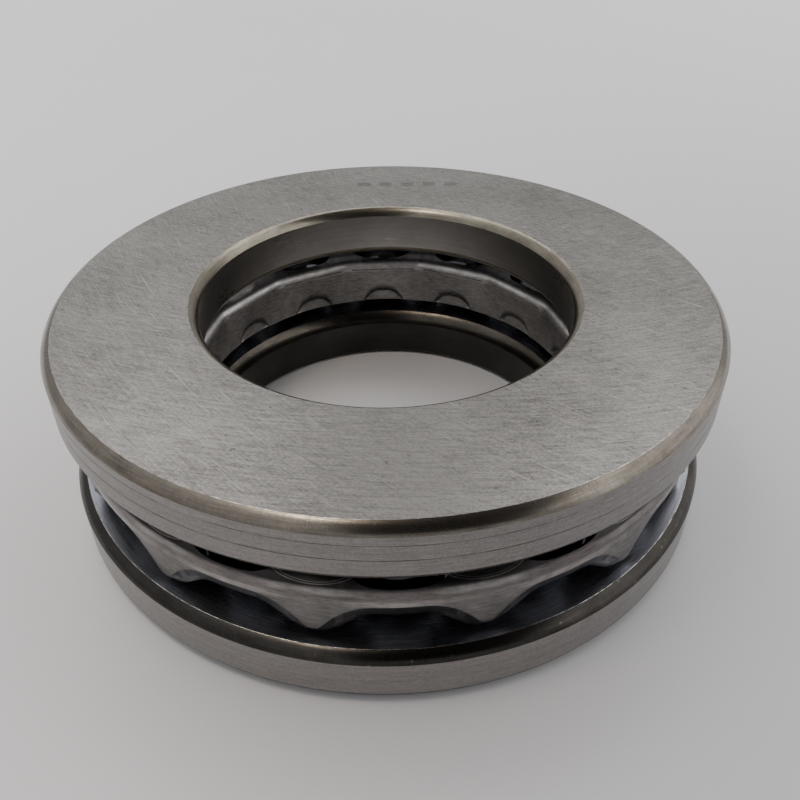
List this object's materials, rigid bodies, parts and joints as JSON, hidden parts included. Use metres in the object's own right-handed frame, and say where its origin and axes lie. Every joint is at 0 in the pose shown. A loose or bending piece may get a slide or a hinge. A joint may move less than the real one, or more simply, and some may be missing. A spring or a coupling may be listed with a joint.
{
  "type": "thrust ball bearing",
  "caption": "Single-direction thrust ball bearing: two flat grooved steel washers on one axis with a pressed steel cage and ring of balls rolling between them.",
  "frame": {"origin": "on the bearing axis at the flat back face of the housing washer, which is the bottom", "axes": "+Z along the bearing axis, from the housing washer to the shaft washer; -Y is the front, +X to its right"},
  "size_m": [0.115, 0.115, 0.036],
  "materials": {
    "ground_washer": "fine ground bearing steel with darker turned edge roundings",
    "pressed_sheet": "pressed and tumbled bright steel sheet",
    "polished_ball": "lapped mirror finish"
  },
  "bodies": {
    "housing_washer": {"housing_washer": "ground_washer"},
    "shaft_washer": {"shaft_washer": "ground_washer"},
    "ball_cage": {"ball_cage": "pressed_sheet"},
    "ball_01": {"ball_01": "polished_ball"},
    "ball_02": {"ball_02": "polished_ball"},
    "ball_03": {"ball_03": "polished_ball"},
    "ball_04": {"ball_04": "polished_ball"},
    "ball_05": {"ball_05": "polished_ball"},
    "ball_06": {"ball_06": "polished_ball"},
    "ball_07": {"ball_07": "polished_ball"},
    "ball_08": {"ball_08": "polished_ball"},
    "ball_09": {"ball_09": "polished_ball"},
    "ball_10": {"ball_10": "polished_ball"},
    "ball_11": {"ball_11": "polished_ball"},
    "ball_12": {"ball_12": "polished_ball"},
    "ball_13": {"ball_13": "polished_ball"},
    "ball_14": {"ball_14": "polished_ball"}
  },
  "joints": [
    {"name": "shaft_washer_spin", "type": "hinge", "parent": "housing_washer", "child": "shaft_washer", "pos_m": [0, 0, 0.03], "axis": [0, 0, 1], "continuous": true},
    {"name": "cage_spin", "type": "hinge", "parent": "housing_washer", "child": "ball_cage", "pos_m": [0, 0, 0.018], "axis": [0, 0, 1], "continuous": true},
    {"name": "ball_01_spin", "type": "hinge", "parent": "ball_cage", "child": "ball_01", "pos_m": [0.00173, -0.04497, 0.018], "axis": [0.0384, -0.9993, 0], "continuous": true},
    {"name": "ball_02_spin", "type": "hinge", "parent": "ball_cage", "child": "ball_02", "pos_m": [0.02107, -0.03976, 0.018], "axis": [0.4682, -0.8836, 0], "continuous": true},
    {"name": "ball_03_spin", "type": "hinge", "parent": "ball_cage", "child": "ball_03", "pos_m": [0.03623, -0.02669, 0.018], "axis": [0.8052, -0.593, 0], "continuous": true},
    {"name": "ball_04_spin", "type": "hinge", "parent": "ball_cage", "child": "ball_04", "pos_m": [0.04422, -0.00832, 0.018], "axis": [0.9828, -0.1849, 0], "continuous": true},
    {"name": "ball_05_spin", "type": "hinge", "parent": "ball_cage", "child": "ball_05", "pos_m": [0.04346, 0.01169, 0.018], "axis": [0.9657, 0.2598, 0], "continuous": true},
    {"name": "ball_06_spin", "type": "hinge", "parent": "ball_cage", "child": "ball_06", "pos_m": [0.03408, 0.02939, 0.018], "axis": [0.7573, 0.653, 0], "continuous": true},
    {"name": "ball_07_spin", "type": "hinge", "parent": "ball_cage", "child": "ball_07", "pos_m": [0.01795, 0.04126, 0.018], "axis": [0.399, 0.917, 0], "continuous": true},
    {"name": "ball_08_spin", "type": "hinge", "parent": "ball_cage", "child": "ball_08", "pos_m": [-0.00173, 0.04497, 0.018], "axis": [-0.0384, 0.9993, 0], "continuous": true},
    {"name": "ball_09_spin", "type": "hinge", "parent": "ball_cage", "child": "ball_09", "pos_m": [-0.02107, 0.03976, 0.018], "axis": [-0.4682, 0.8836, 0], "continuous": true},
    {"name": "ball_10_spin", "type": "hinge", "parent": "ball_cage", "child": "ball_10", "pos_m": [-0.03623, 0.02669, 0.018], "axis": [-0.8052, 0.593, 0], "continuous": true},
    {"name": "ball_11_spin", "type": "hinge", "parent": "ball_cage", "child": "ball_11", "pos_m": [-0.04422, 0.00832, 0.018], "axis": [-0.9828, 0.1849, 0], "continuous": true},
    {"name": "ball_12_spin", "type": "hinge", "parent": "ball_cage", "child": "ball_12", "pos_m": [-0.04346, -0.01169, 0.018], "axis": [-0.9657, -0.2598, 0], "continuous": true},
    {"name": "ball_13_spin", "type": "hinge", "parent": "ball_cage", "child": "ball_13", "pos_m": [-0.03408, -0.02939, 0.018], "axis": [-0.7573, -0.653, 0], "continuous": true},
    {"name": "ball_14_spin", "type": "hinge", "parent": "ball_cage", "child": "ball_14", "pos_m": [-0.01795, -0.04126, 0.018], "axis": [-0.399, -0.917, 0], "continuous": true}
  ],
  "couplings": [
    {"joint": "cage_spin", "follows": "shaft_washer_spin", "ratio": 0.5},
    {"joint": "ball_01_spin", "follows": "shaft_washer_spin", "ratio": -2.577},
    {"joint": "ball_02_spin", "follows": "shaft_washer_spin", "ratio": -2.577},
    {"joint": "ball_03_spin", "follows": "shaft_washer_spin", "ratio": -2.577},
    {"joint": "ball_04_spin", "follows": "shaft_washer_spin", "ratio": -2.577},
    {"joint": "ball_05_spin", "follows": "shaft_washer_spin", "ratio": -2.577},
    {"joint": "ball_06_spin", "follows": "shaft_washer_spin", "ratio": -2.577},
    {"joint": "ball_07_spin", "follows": "shaft_washer_spin", "ratio": -2.577},
    {"joint": "ball_08_spin", "follows": "shaft_washer_spin", "ratio": -2.577},
    {"joint": "ball_09_spin", "follows": "shaft_washer_spin", "ratio": -2.577},
    {"joint": "ball_10_spin", "follows": "shaft_washer_spin", "ratio": -2.577},
    {"joint": "ball_11_spin", "follows": "shaft_washer_spin", "ratio": -2.577},
    {"joint": "ball_12_spin", "follows": "shaft_washer_spin", "ratio": -2.577},
    {"joint": "ball_13_spin", "follows": "shaft_washer_spin", "ratio": -2.577},
    {"joint": "ball_14_spin", "follows": "shaft_washer_spin", "ratio": -2.577}
  ]
}
